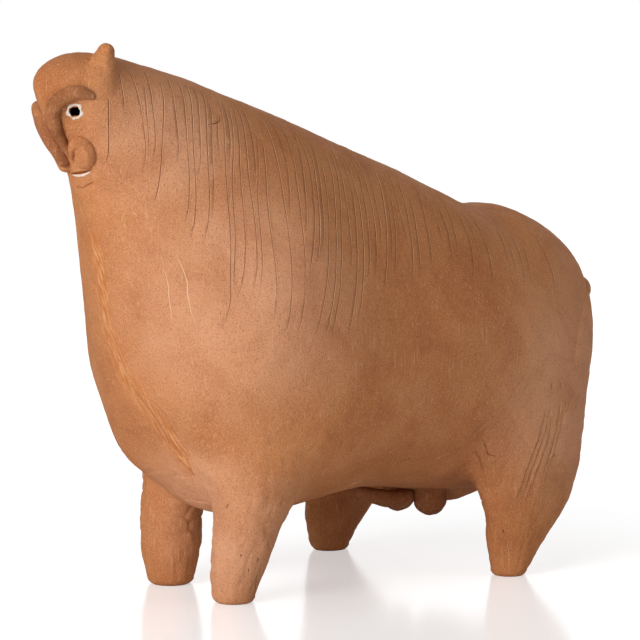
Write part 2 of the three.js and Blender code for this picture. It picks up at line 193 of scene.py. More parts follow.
# Needle strokes on the left flank: angles where each starts and ends, its place at start, middle and end, and
# how hard it was pressed, out of five
mane = [
    (70, 132, 10.68, 10.60, 10.36, 4), (39, 80, 10.40, 10.40, 10.34, 5), (33, 110, 10.20, 10.04, 9.72, 2.4),
    (49, 100, 9.98, 9.92, 9.74, 1.3), (29, 100, 9.88, 9.84, 9.64, 2.6), (39, 120, 9.66, 9.62, 9.38, 3.5),
    (29, 88, 9.48, 9.46, 9.30, 2.6), (28, 113, 9.30, 9.24, 8.86, 2.6), (28, 116, 9.16, 9.12, 8.69, 3.7),
    (28, 88, 9.02, 9.04, 8.93, 1.4), (29, 112, 8.90, 8.88, 8.51, 2.6), (40, 100, 8.82, 8.80, 8.56, 1.8),
    (47, 72, 8.72, 8.72, 8.66, 1.5), (29, 131, 8.62, 8.50, 7.63, 3.0), (32, 70, 8.52, 8.52, 8.48, 2.0),
    (36, 117, 8.45, 8.42, 7.95, 4.1), (29, 116, 8.35, 8.30, 7.75, 2.5), (29, 110, 8.24, 8.17, 7.59, 3.4),
    (29, 72, 8.12, 8.10, 8.04, 1.3), (45, 111, 8.02, 7.96, 7.49, 2.2), (48, 110, 7.92, 7.77, 7.17, 3.6),
    (27, 112, 7.79, 7.55, 6.91, 3.5), (27, 79, 7.58, 7.50, 7.42, 1.1), (25, 108, 7.40, 7.28, 6.75, 2.6),
    (24, 79, 7.18, 7.20, 7.12, 1.7), (24, 93, 7.12, 7.03, 6.93, 1.7), (24, 84, 6.98, 6.96, 6.85, 5.0),
    (30, 79, 6.88, 6.88, 6.79, 1.6), (41, 103, 6.80, 6.71, 6.53, 3.5), (30, 101, 6.62, 6.60, 6.39, 4.5),
    (30, 99, 6.50, 6.50, 6.31, 3.8), (23, 78, 6.40, 6.40, 6.25, 4.3), (28, 96, 6.28, 6.20, 6.05, 2.0),
    (28, 91, 6.20, 6.09, 5.95, 4.1), (20, 78, 6.00, 6.00, 5.90, 2.4), (20, 73, 5.90, 5.87, 5.77, 4.9),
    (20, 66, 5.74, 5.76, 5.69, 1.7), (27, 77, 5.55, 5.59, 5.55, 4.8), (29, 68, 5.46, 5.49, 5.47, 1.2),
    (39, 71, 5.40, 5.40, 5.37, 2.8), (26, 59, 5.22, 5.26, 5.15, 2.6), (29, 72, 5.10, 5.10, 5.01, 2.8),
    (36, 69, 4.97, 4.97, 4.90, 2.3), (25, 66, 4.70, 4.77, 4.71, 1.8), (24, 56, 4.55, 4.55, 4.53, 3.1),
    (36, 63, 4.40, 4.40, 4.38, 2.3), (24, 59, 4.20, 4.25, 4.30, 1.7), (34, 69, 4.03, 4.03, 4.09, 2.0),
    (34, 59, 3.88, 3.90, 3.92, 1.1), (20, 68, 3.66, 3.71, 3.76, 1.8), (36, 67, 3.25, 3.37, 3.45, 1.5),
    (22, 66, 3.05, 3.20, 3.35, 1.8), (38, 66, 2.98, 3.10, 3.25, 2.3), (44, 63, 2.88, 2.98, 3.10, 1.4),
    (38, 52, 2.55, 2.64, 2.74, 1.0), (36, 69, 2.36, 2.46, 2.60, 1.3)]
stroke_depth, stroke_burr = 0.75, 0.2
columns = 288
angles = np.radians(np.arange(columns) * 360 / columns)
over = np.minimum(angles, 2 * np.pi - angles)
on_left = angles <= np.pi


def smooth_step(low, high, value):
    part = np.clip((value - low) / (high - low), 0, 1)
    return part * part * (3 - 2 * part)


def stroke_course(number, stroke):
    """Where one stroke runs at every column, on both flanks, and how deep it is there."""
    start, end, *places, pressure = stroke
    degrees = np.degrees(over)
    base = along(places, np.clip((degrees - start) / (end - start), 0, 1) * 2)
    sway = 0.05 * np.sin(2.4 * number) * np.sin(over)
    flank_start = np.where(on_left, start, start + 8 * np.sin(1.7 * number))
    flank_end = np.where(on_left, end, end * (0.92 + 0.12 * np.sin(3.1 * number)))
    depth = smooth_step(flank_start - 1, flank_start + 2, degrees) \
        * (1 - smooth_step(flank_end - 12, flank_end + 1, degrees))
    uneven = 0.82 + 0.18 * np.sin(degrees * 0.21 + 3 * number) * np.cos(degrees * 0.13 + number)
    return [np.where(on_left, base, base + sway), depth * uneven * min(1, 0.32 + 0.15 * pressure)]


# Strokes never cross: where one has ended or not begun, its line gives way to its neighbours.
# They keep at least this part of a frame apart.
least_apart = 0.05
courses = sorted((stroke_course(n, stroke) for n, stroke in enumerate(mane)),
                 key=lambda c: c[0][columns // 6])
for _ in range(120):
    for (low, low_depth), (high, high_depth) in zip(courses, courses[1:]):
        overlap = np.maximum(0, low + least_apart - high)
        share = (low_depth + 0.004) / (low_depth + high_depth + 0.008)
        low -= overlap * (1 - share)
        high += overlap * share
# Where the four lengths were luted together, and the rows that close the round tips of rump and brow
seams = [0, 3.5, 6.5, 9, 12]
tip_rows = [0.03, 0.08, 0.15, 0.24, 0.34, 0.45, 0.56, 0.68, 0.8, 0.92]


def speed(place):
    """Millimetres per frame of the body at every column."""
    return np.linalg.norm(skin(place + 0.01, angles) - skin(place - 0.01, angles), axis=-1) / 0.02


def stroke_dug(place):
    """How deep the strokes go at these places, a row of places per column; the raised burr is negative."""
    dug = np.zeros_like(place)
    for course, depth in courses:
        off = (place - course) * speed(course)
        dug += depth * np.interp(off, (-1.1, -0.6, -0.24, 0, 0.26, 0.55, 0.9),
                                 (0, -stroke_burr, 0.7 * stroke_depth, stroke_depth, 0.7 * stroke_depth,
                                  -0.2 * stroke_burr, 0))
    return dug


def wall_rows(first, last):
    """Rows of places between two seams, close together along every stroke."""
    none = np.zeros(columns)
    rows = [none + max(first, 0.92)]
    for course, depth in courses:
        if np.any((first < course) & (course < last) & (depth > 0.02)):
            rows += [course + off / speed(course) for off in (-1.1, -0.6, -0.24, 0, 0.26, 0.55)]
    rows = np.sort(np.clip([*rows, none + min(last, 12 - 0.92)],
                           max(first, 0.92), min(last, 12 - 0.92)), axis=0)
    filled = [none + t for t in tip_rows[:-1]] if first == 0 else []
    for low, high in zip(rows, rows[1:]):
        gap = (high - low).max()
        count = max(1, int(np.ceil(gap / 0.07))) if gap > 0.05 else 1
        filled += [low + (high - low) * i / count for i in range(count)]
    filled.append(rows[-1])
    if last == 12:
        filled += [none + 12 - t for t in tip_rows[-2::-1]]
    rank = np.arange(len(filled))[:, None] * 0.0008
    return np.clip(filled, (first or 0.03) + rank, (last if last < 12 else 11.97) - rank[::-1])


def dabbed(point):
    """Creases between the dabs of a finger, about 14 mm apart, low down where the legs were pressed on."""
    near, second = noise.voronoi(point * 0.07 + Vector((3, 0, 5)))[0][:2]
    return (1 - smooth_step(0, 0.2, second - near)) * (0.2 + 0.8 * (1 - smooth_step(95, 165, point.z)))


def unevenness(point):
    """Hand-smoothed clay is never quite even: how far it lies under its highest surface, in millimetres."""
    broad = noise.noise(point * 0.018) + 0.5 * noise.noise(point * 0.045 + Vector((7, 3, 1)))
    fine = noise.noise(point * 0.13 + Vector((1, 8, 2)))
    return 0.9 - 0.75 * broad - 0.22 * fine + 0.8 * dabbed(point)


# Where the built body is fuller than its outline: how far it stands out, round which point, and how wide.
# They are the belly behind the testicles, the far side and the front of the chest, and the near haunch.
fuller_places = [(12, (-5, 160, 62), (32, 20, 25)), (9, (-55, -154, 111), (36, 34, 32)),
                 (5, (-20, -195, 190), (50, 40, 60)), (4, (105, 208, 90), (40, 40, 40))]


def fullness(points, place):
    """How far the skin stands out over its outline: along the back and nape, and at the places above."""
    back_rise = 2.8 * smooth_step(3.5, 5, place) * (1 - smooth_step(7, 8.8, place))
    nape_rise = 2.2 * np.exp(-((place - 10.2) / 0.5) ** 2)
    fuller = (back_rise + nape_rise) * np.exp(-(np.degrees(over) / 45) ** 2)
    for rise, centre, reach in fuller_places:
        fuller += rise * np.exp(-(((points - centre) / reach) ** 2).sum(axis=-1))
    return fuller


def wall_skin(place):
    """The outer skin of a length of wall with its strokes cut in, and how far each point is cut."""
    spread = np.broadcast_to(angles, place.shape)
    dug = stroke_dug(place)
    points, normals = skin(place, spread), skin_normal(place, spread)
    sunk = np.array([max(0.0, unevenness(Vector(p))) for p in points.reshape(-1, 3)]).reshape(place.shape)
    sunk = sunk + dug - fullness(points, place)
    return points - normals * sunk[..., None], dug / np.where(dug > 0, stroke_depth, stroke_burr)


def strip(low, high):
    """Quads between two closed rows of vertex numbers."""
    count = len(low)
    return [(low[i], low[(i + 1) % count], high[(i + 1) % count], high[i]) for i in range(count)]


def make_piece(name, points, faces, material, marks={}):
    mesh = bpy.data.meshes.new(name)
    mesh.from_pydata((np.asarray(points) + shift) * 0.001, [], faces)
    for mark, values in marks.items():
        mesh.attributes.new(mark, "FLOAT", "POINT").data.foreach_set("value", np.asarray(values, np.float32))
    tidy = bmesh.new()
    tidy.from_mesh(mesh)
    bmesh.ops.recalc_face_normals(tidy, faces=tidy.faces)
    if tidy.calc_volume(signed=True) < 0:
        bmesh.ops.reverse_faces(tidy, faces=tidy.faces)
    tidy.to_mesh(mesh)
    tidy.free()
    mesh.shade_smooth()
    mesh.set_sharp_from_angle(angle=np.radians(50))
    mesh.materials.append(material)
    piece = bpy.data.objects.new(name, mesh)
    scene.collection.objects.link(piece)
    return piece


def stand_for(piece, node):
    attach(piece, "root")
    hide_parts(node)


def cut_out(piece, points, faces, mark=0.0):
    """Cuts a closed shape out of a piece, as a tool pushed into wet clay does; mark darkens the cut with
    painted shade, or where it is negative lightens it, as painted highlight on ridges and the pale clay of
    scratches."""
    tool = make_piece("tool", points, faces, terracotta, {"stroke": np.full(len(points), mark)})
    cut = piece.modifiers.new("cut", "BOOLEAN")
    cut.operation, cut.solver, cut.object = "DIFFERENCE", "MANIFOLD", tool
    bpy.context.view_layer.update()
    result = bpy.data.meshes.new_from_object(piece.evaluated_get(bpy.context.evaluated_depsgraph_get()))
    piece.modifiers.remove(cut)
    piece.data = result
    bpy.data.objects.remove(tool)


def scratched(piece, lines, depth, half_width, mark):
    """Draws a point over a piece along lines of rough spots on its skin; it bites in and lifts out gently."""
    spots_on_skin = [v.co * 1000 - Vector(shift) for v in piece.data.vertices]
    tree = BVHTree.FromPolygons(spots_on_skin, [f.vertices for f in piece.data.polygons])
    all_points, all_faces = [], []
    for line in lines:
        stops = np.linspace(0, len(line) - 1, (len(line) - 1) * 8 + 1)
        found = [tree.find_nearest(Vector(spot)) for spot in along(np.asarray(line, float), stops)]
        place, normal = np.array([f[0] for f in found]), np.array([f[1] for f in found])
        across = unit(np.cross(normal, np.gradient(place, axis=0)))
        deep = depth * np.sin(np.pi * np.clip(stops / stops[-1], 0.03, 0.97))[:, None] ** 0.6
        reach = across * half_width * (deep + 1.5) / depth
        rings = list(np.stack([
            place + normal * 1.5 + reach, place + normal * 1.5 - reach, place - normal * deep], 1))
        points, faces = close_rings(rings, rings[0].mean(axis=0), rings[-1].mean(axis=0))
        base = sum(len(p) for p in all_points)
        all_points.append(points)
        all_faces += [tuple(int(v) + base for v in face) for face in faces]
    cut_out(piece, np.concatenate(all_points), all_faces, mark)


# Low-fired terracotta, smoothed by hand and left unglazed: matte with a slight satin where it was rubbed.
# The kiln left clouds of about 60 mm from pink to ochre, with smaller ones of 24 mm. Grog specks and pores
# are about 1 mm, pits stand some 13 mm apart, and scraping left fine lines of 1.5 by 22 mm.
terracotta = bpy.data.materials.new("hand_smoothed_terracotta")
terracotta.use_nodes = True
tree = terracotta.node_tree
shader = tree.nodes["Principled BSDF"]
shader.inputs["Specular IOR Level"].default_value = 0.08
place_in = add_node(tree, "ShaderNodeTexCoord").outputs["Object"]
clouds = add_node(tree, "ShaderNodeTexNoise", inputs={
    "Vector": place_in, "Scale": 17, "Detail": 5, "Roughness": 0.62, "Distortion": 0.6})
kiln_colour = add_node(tree, "ShaderNodeValToRGB", inputs={"Fac": clouds.outputs["Fac"]})
kiln_colour.name = "kiln_colour"
ramp = kiln_colour.color_ramp
ramp.elements[0].position, ramp.elements[0].color = 0.28, linear("#AA673C")
ramp.elements[1].position, ramp.elements[1].color = 0.74, linear("#C68758")
ramp.elements.new(0.5).color = linear("#BB7849")
ochre_clouds = add_node(tree, "ShaderNodeTexNoise", inputs={
    "Vector": place_in, "Scale": 42, "Detail": 6, "Roughness": 0.7, "Distortion": 0.3})
ochre_share = add_node(tree, "ShaderNodeMapRange", inputs={
    "Value": ochre_clouds.outputs["Fac"], "From Min": 0.5, "From Max": 0.7, "To Max": 0.4})
ochred = add_node(tree, "ShaderNodeMix", {"data_type": "RGBA"}, {
    "Factor": ochre_share.outputs["Result"], 6: kiln_colour.outputs["Color"], 7: linear("#C48A55")})
# The pale patches are partly the clay's own bloom; the haunch patch, and the clouds' raised share in all of
# them, are painted light that brightens the haunch and thigh.
bloom_and_painted_light = 0  # pale patches on the near shoulder, the haunch, between the front legs and on the cheek
for centre, inner, outer in (((0.095, -0.15, 0.25), 0.03, 0.14), ((0.1, 0.19, 0.16), 0.03, 0.13),
                             ((0.03, -0.13, 0.06), 0.04, 0.1), ((0.05, -0.18, 0.37), 0.02, 0.09)):
    away = add_node(tree, "ShaderNodeVectorMath", {"operation": "DISTANCE"}, {0: place_in, 1: centre})
    patch = add_node(tree, "ShaderNodeMapRange", {"interpolation_type": "SMOOTHSTEP"}, {
        "Value": away.outputs["Value"], "From Min": outer, "From Max": inner})
    most = add_node(tree, "ShaderNodeMath", {"operation": "MAXIMUM"}, {0: patch.outputs["Result"], 1: bloom_and_painted_light})
    bloom_and_painted_light = most.outputs[0]
bloom_and_light_clouds = add_node(tree, "ShaderNodeMapRange", inputs={"Value": clouds.outputs["Fac"], "To Max": 1.35})
bloom_and_light_share = add_node(tree, "ShaderNodeMath", {"operation": "MULTIPLY"}, {
    0: bloom_and_painted_light, 1: bloom_and_light_clouds.outputs["Result"]})
bloomed_and_lit = add_node(tree, "ShaderNodeMix", {"data_type": "RGBA"}, {
    "Factor": bloom_and_light_share.outputs[0], 6: ochred.outputs[2], 7: linear("#D69C78")})
grog = add_node(tree, "ShaderNodeTexNoise", inputs={
    "Vector": place_in, "Scale": 900, "Detail": 3, "Roughness": 0.6})
dark_specks = add_node(tree, "ShaderNodeMapRange", inputs={
    "Value": grog.outputs["Fac"], "From Min": 0.32, "From Max": 0.47, "To Min": 0.6, "To Max": 0})
specked = add_node(tree, "ShaderNodeMix", {"data_type": "RGBA"}, {
    "Factor": dark_specks.outputs["Result"], 6: bloomed_and_lit.outputs[2], 7: linear("#8F5638")})
light_specks = add_node(tree, "ShaderNodeMapRange", inputs={
    "Value": grog.outputs["Fac"], "From Min": 0.55, "From Max": 0.7, "To Max": 0.5})
speckled = add_node(tree, "ShaderNodeMix", {"data_type": "RGBA"}, {
    "Factor": light_specks.outputs["Result"], 6: specked.outputs[2], 7: linear("#DBA882")})
scraping = add_node(tree, "ShaderNodeMapping", inputs={
    "Vector": place_in, "Rotation": (0.5, 0.3, 0.2), "Scale": (700, 700, 45)})
fine_scratches = add_node(tree, "ShaderNodeTexNoise", inputs={
    "Vector": scraping.outputs[0], "Scale": 1, "Detail": 2, "Distortion": 0.4})
scratch_share = add_node(tree, "ShaderNodeMapRange", inputs={
    "Value": fine_scratches.outputs["Fac"], "From Min": 0.6, "From Max": 0.72, "To Max": 0.5})
grained = add_node(tree, "ShaderNodeMix", {"data_type": "RGBA"}, {
    "Factor": scratch_share.outputs["Result"], 6: speckled.outputs[2], 7: linear("#D9A27A")})
# Painted shade: dark spots about 13 mm apart where pits would hold shade; the pits have no depth of their
# own.
pit_cells = add_node(tree, "ShaderNodeTexVoronoi", inputs={"Vector": place_in, "Scale": 75})
pit_shade_share = add_node(tree, "ShaderNodeMapRange", inputs={
    "Value": pit_cells.outputs["Distance"], "From Min": 0.05, "From Max": 0.02, "To Max": 0.7})
pit_shaded = add_node(tree, "ShaderNodeMix", {"data_type": "RGBA"}, {
    "Factor": pit_shade_share.outputs["Result"], 6: grained.outputs[2], 7: linear("#6E3A22")})
# Painted shade and painted highlight: the stroke mark darkens needle grooves and cut marks nearly to black as
# the shade in them, and lightens the burrs and ridges beside them as a highlight; the same light colour also
# gives the pale clay of real scratches and grains.
stroke_mark = add_node(tree, "ShaderNodeAttribute", {"attribute_name": "stroke"})
groove = add_node(tree, "ShaderNodeMapRange", inputs={
    "Value": stroke_mark.outputs["Fac"], "From Max": 0.9, "To Max": 0.95})
burr = add_node(tree, "ShaderNodeMapRange", inputs={
    "Value": stroke_mark.outputs["Fac"], "From Min": -0.15, "From Max": -1.2, "To Max": 1.0})
painted_groove_shade = add_node(tree, "ShaderNodeMix", {"data_type": "RGBA"}, {
    "Factor": groove.outputs["Result"], 6: pit_shaded.outputs[2], 7: linear("#5C2C18")})
painted_burr_light_and_pale_marks = add_node(tree, "ShaderNodeMix", {"data_type": "RGBA"}, {
    "Factor": burr.outputs["Result"], 6: painted_groove_shade.outputs[2], 7: linear("#E6BE9A")})
scrape_mark = add_node(tree, "ShaderNodeAttribute", {"attribute_name": "scraped"})
brushing = add_node(tree, "ShaderNodeMapping", {"vector_type": "TEXTURE"}, {
    "Vector": place_in, "Rotation": (0.42, -0.2, 0), "Scale": (0.0022, 0.0022, 0.03)})
bristles = add_node(tree, "ShaderNodeTexNoise", inputs={
    "Vector": brushing.outputs[0], "Scale": 1, "Detail": 3, "Roughness": 0.6})
bristle_colour = add_node(tree, "ShaderNodeValToRGB", inputs={"Fac": bristles.outputs["Fac"]})
ramp = bristle_colour.color_ramp
ramp.elements[0].position, ramp.elements[0].color = 0.38, linear("#B4693C")
ramp.elements[1].position, ramp.elements[1].color = 0.62, linear("#D9A06E")
ramp.elements.new(0.5).color = linear("#C57A42")
scrape_share = add_node(tree, "ShaderNodeMath", {"operation": "MULTIPLY"}, {
    0: scrape_mark.outputs["Fac"], 1: 0.85})
scraped = add_node(tree, "ShaderNodeMix", {"data_type": "RGBA"}, {
    "Factor": scrape_share.outputs[0], 6: painted_burr_light_and_pale_marks.outputs[2], 7: bristle_colour.outputs["Color"]})
tree.links.new(scraped.outputs[2], shader.inputs["Base Color"])
sheen_clouds = add_node(tree, "ShaderNodeMapRange", inputs={
    "Value": ochre_clouds.outputs["Fac"], "From Min": 0.3, "From Max": 0.7, "To Min": 0.52, "To Max": 0.7})
tree.links.new(sheen_clouds.outputs["Result"], shader.inputs["Roughness"])
rubbing = add_node(tree, "ShaderNodeMapping", inputs={"Vector": place_in, "Scale": (60, 260, 420)})
rub_marks = add_node(tree, "ShaderNodeTexNoise", inputs={
    "Vector": rubbing.outputs[0], "Scale": 1, "Detail": 4, "Roughness": 0.6, "Distortion": 1.2})
pores = add_node(tree, "ShaderNodeBump", inputs={
    "Height": grog.outputs["Fac"], "Strength": 0.9, "Distance": 0.0008})
rubbed = add_node(tree, "ShaderNodeBump", inputs={
    "Height": rub_marks.outputs["Fac"], "Strength": 0.45, "Distance": 0.0005,
    "Normal": pores.outputs["Normal"]})
dabs = add_node(tree, "ShaderNodeBump", inputs={
    "Height": ochre_clouds.outputs["Fac"], "Strength": 0.5, "Distance": 0.0025,
    "Normal": rubbed.outputs["Normal"]})
tree.links.new(dabs.outputs["Normal"], shader.inputs["Normal"])

# A scrape of fresh orange clay runs down the chest, from the throat to between the front legs, and widens
chest_scrape = np.array([(-2, -212, 292), (-6, -200, 252), (-10, -190, 219), (-3, -181, 187), (13, -172, 162),
                         (24, -160, 136), (30, -148, 111), (34, -133, 94)], float)


def scrape_at(points):
    """How much of the scrape each point takes: all on its course, none past its edge."""
    best = np.full(len(points), 1e9)
    for start, end in zip(chest_scrape, chest_scrape[1:]):
        part = np.clip((points - start) @ (end - start) / ((end - start) @ (end - start)), 0, 1)
        best = np.minimum(best, np.linalg.norm(points - start - part[:, None] * (end - start), axis=1))
    return 1 - smooth_step(0, 24 - 0.045 * points[:, 2], best)


skin_points, skin_faces, wall_parts = [], [], {}
names = ["hindquarters", "barrel", "neck", "head"]
for name, first, last in zip(names, seams, seams[1:]):
    rows = wall_rows(first, last)
    outside, cut = wall_skin(rows)
    count = len(rows)
    numbers = np.arange(count * columns).reshape(count, columns)
    points = outside.reshape(-1, 3)
    marks = cut.reshape(-1)
    faces = [face for low, high in zip(numbers, numbers[1:]) for face in strip(low, high)]
    inner_places = [p for p in np.arange(0.3, 12, 0.3) if first + 0.1 < p < last - 0.1]
    inner_places = ([first] if first > 0 else []) + inner_places + ([last] if last < 12 else [])
    inner = np.array([skin(np.full(columns, p), angles) - wall * skin_normal(np.full(columns, p), angles)
                      for p in inner_places])
    inner_numbers = count * columns + np.arange(len(inner) * columns).reshape(len(inner), columns)
    faces += [face for low, high in zip(inner_numbers[1:], inner_numbers) for face in strip(low, high)]
    points = np.concatenate([points, inner.reshape(-1, 3)])
    if first > 0:
        faces += strip(inner_numbers[0], numbers[0])
    if last < 12:
        faces += strip(numbers[-1], inner_numbers[-1])
    for at_tip, outer_row, inner_row, tip, inward in (
            (first == 0, numbers[0], inner_numbers[0], (0, 269, 192), (0, -wall, 0)),
            (last == 12, numbers[-1], inner_numbers[-1], (0, -269, 413), (0, wall, 0))):
        if at_tip:
            for row, offset in ((outer_row, 0), (inner_row, 1)):
                points = np.vstack([points, np.array(tip) + np.array(inward) * offset])
                hub = len(points) - 1
                faces += [(row[i], row[(i + 1) % columns], hub) for i in range(columns)]
    marks = np.concatenate([marks, np.zeros(len(points) - len(marks))])
    # The stroke mark paints shade into the needle grooves and a highlight on the raised burrs beside them.
    wall_parts[name] = make_piece(f"{name}_wall", points, faces, terracotta,
                                  {"stroke": marks, "scraped": scrape_at(points)})
    base = len(skin_points)
    skin_points.extend(map(tuple, outside.reshape(-1, 3)))
    skin_faces.extend([tuple(int(v) + base for v in reversed(face)) for low, high in zip(numbers, numbers[1:])
                       for face in strip(low, high)])
skin_tree = BVHTree.FromPolygons(skin_points, skin_faces)
for name in names:
    stand_for(wall_parts[name], f"{name}_shell")


# Legs: four solid stubs of the same clay, pressed on under the wet body and thumbed out over it until the
# join is gone. Each row is height, outward and backward lean, half width and half length of the stub.
# The far front leg is straighter than the near one.
front_leg = np.array([
    (0, 0, 0, 13.5, 13.5), (1.2, 0, 0, 15.6, 15.6), (3.5, 0, 0, 17.2, 17.2), (9, 0, 0, 18.7, 18.7),
    (30, 3, 3, 23, 23), (58, 8, 6, 27, 27), (80, 12, 10, 31, 32), (105, 12, 13, 35, 37),
    (130, 10, 16, 36, 38)], float)
far_front_leg = np.array([
    (0, 0, 0, 14.5, 14.5), (1.2, 0, 0, 17, 17), (3.5, 0, 0, 19, 19), (9, 0, 0, 20.5, 20.5),
    (30, 3, 3, 25, 25), (58, 7, 6, 26, 26), (80, 8, 10, 26, 27), (105, 8, 13, 28, 30),
    (130, 8, 16, 30, 32)], float)
hind_leg = np.array([
    (0, 0, 0, 12, 12), (1.2, 0, 0, 13.8, 13.8), (3.5, 0, 0, 15.3, 15.3), (9, 0, 1, 16.7, 17.2),
    (30, -2, 7, 20, 26), (55, -4, 18, 24, 38), (80, -7, 22, 27, 50), (105, -10, 24, 30, 54),
    (130, -13, 25, 32, 54), (158, -18, 25, 32, 50)], float)


def body_distance(points):
    """Signed distance from the body's skin and the skin's outward direction there."""
    distances, normals = np.empty(len(points)), np.empty((len(points), 3))
    for i, point in enumerate(points):
        place, normal, _, _ = skin_tree.find_nearest(point)
        distances[i] = (Vector(point) - place).dot(normal)
        normals[i] = normal
    return distances, normals


def press_on(rings, own_distance, reach, stride, kept, most=90):
    """Carries the last ring of a lump up onto the body and over it, along a thumbed fillet of that reach."""
    def height(points):
        own = own_distance(points)
        body, normals = body_distance(points)
        overlap = np.maximum(reach - np.abs(own - body), 0) / reach
        return np.minimum(own, body) - overlap ** 2 * reach / 4, own, normals

    point = rings[-1].copy()
    heading = unit(rings[-1] - rings[-2])
    trails = [[p] for p in point]
    running = np.ones(len(point), bool)
    for _ in range(most):
        moved = point + heading * stride
        for _ in range(2):
            level, own, _ = height(moved)
            slope_here = np.stack([(height(moved + step)[0] - level) / 0.4 for step in np.eye(3) * 0.4], -1)
            steep = np.maximum((slope_here ** 2).sum(-1, keepdims=True), 0.2)
            moved = moved - level[:, None] * slope_here / steep
        heading = unit(moved - point)
        point = np.where(running[:, None], moved, point)
        for i in np.flatnonzero(running):
            trails[i].append(point[i].copy())
        running &= own < reach
        if not running.any():
            break
    spread = []
    for trail in trails:
        trail = np.array(trail)
        length = np.concatenate([[0], np.cumsum(np.linalg.norm(np.diff(trail, axis=0), axis=1))])
        stops = np.linspace(0, length[-1], kept + 1)[1:]
        spread.append(np.stack([np.interp(stops, length, trail[:, k]) for k in range(3)], -1))
    grown = list(np.array(spread).transpose(1, 0, 2))
    _, _, normals = height(grown[-1])
    grown[-1] = grown[-1] - normals * 0.5
    return rings + grown + [grown[-1] - normals * 5]


def close_rings(rings, first_hub, last_hub):
    count = len(rings[0])
    numbers = np.arange(len(rings) * count).reshape(len(rings), count)
    faces = [face for low, high in zip(numbers, numbers[1:]) for face in strip(low, high)]
    points = np.vstack([np.concatenate(rings), first_hub, last_hub])
    for row, hub in ((numbers[0], len(points) - 2), (numbers[-1], len(points) - 1)):
        faces += [(row[i], row[(i + 1) % count], hub) for i in range(count)]
    return points, faces


def roughen(points, amount):
    """How far each point stands out between the dents that fingers left in a lump, in millimetres."""
    dents = np.array([noise.noise(Vector(p) * 0.06) + 0.6 * noise.noise(Vector(p) * 0.16)
                      - 0.9 * dabbed(Vector(p)) for p in points])
    return amount * dents


turns = np.linspace(0, 2 * np.pi, 112, endpoint=False)
# Each leg: its stub, where it stands, its side, the reach of its thumbed fillet, and how much longer it is
# towards the head (or the rump, where negative) over its foot
feet = {"leg_front_left": (front_leg, 49, -114, 1, 17, 0),
        "leg_front_right": (far_front_leg, 53, -101, -1, 9, 0),
        "leg_hind_left": (hind_leg, 95, 144, 1, 22, -4),
        "leg_hind_right": (hind_leg, 103, 115, -1, 22, 5.5)}
for name, (sections, x, y, side, reach, longer) in feet.items():
    def section_at(height, sections=sections, x=x, y=y, side=side, longer=longer):
        place = np.interp(height, sections[:, 0], np.arange(len(sections)))
        _, outward, backward, half_width, half_length = along(sections, place).T
        longer = longer * smooth_step(-30 if side < 0 else 0, 40, height)
        return side * (x + outward), y + backward - longer, half_width, half_length + abs(longer)

    def stub_distance(points, section_at=section_at):
        middle_x, middle_y, half_width, half_length = section_at(points[:, 2])
        away = np.hypot(points[:, 0] - middle_x, points[:, 1] - middle_y)
        share = np.hypot((points[:, 0] - middle_x) / half_width, (points[:, 1] - middle_y) / half_length)
        return away * (1 - 1 / np.maximum(share, 1e-3))

    rings = []
    for height in (0, 1.2, 3.5, 6, 9, 13, 18, 23, 28, 33, 38, 43):
        middle_x, middle_y, half_width, half_length = section_at(np.full(len(turns), float(height)))
        ring = np.stack([middle_x + half_width * np.cos(turns), middle_y + half_length * np.sin(turns),
                         np.full(len(turns), float(height))], -1)
        rings.append(ring)
    rings = press_on(rings, stub_distance, reach, 1.6, 34)
    for number, ring in enumerate(rings[:-3]):
        middle = ring.mean(axis=0)
        outward = unit(ring - middle)
        fade = min(1, (len(rings) - 3 - number) / 10)
        ring += outward * (roughen(ring, 1.0) * fade * min(1, 0.3 + ring[0, 2] / 20))[:, None] * (1, 1, 0)
    points, faces = close_rings(rings, rings[0].mean(axis=0), rings[-1].mean(axis=0))
    leg = make_piece(f"{name}_stub", points, faces, terracotta, {"stroke": np.zeros(len(points))})
    stand_for(leg, name)
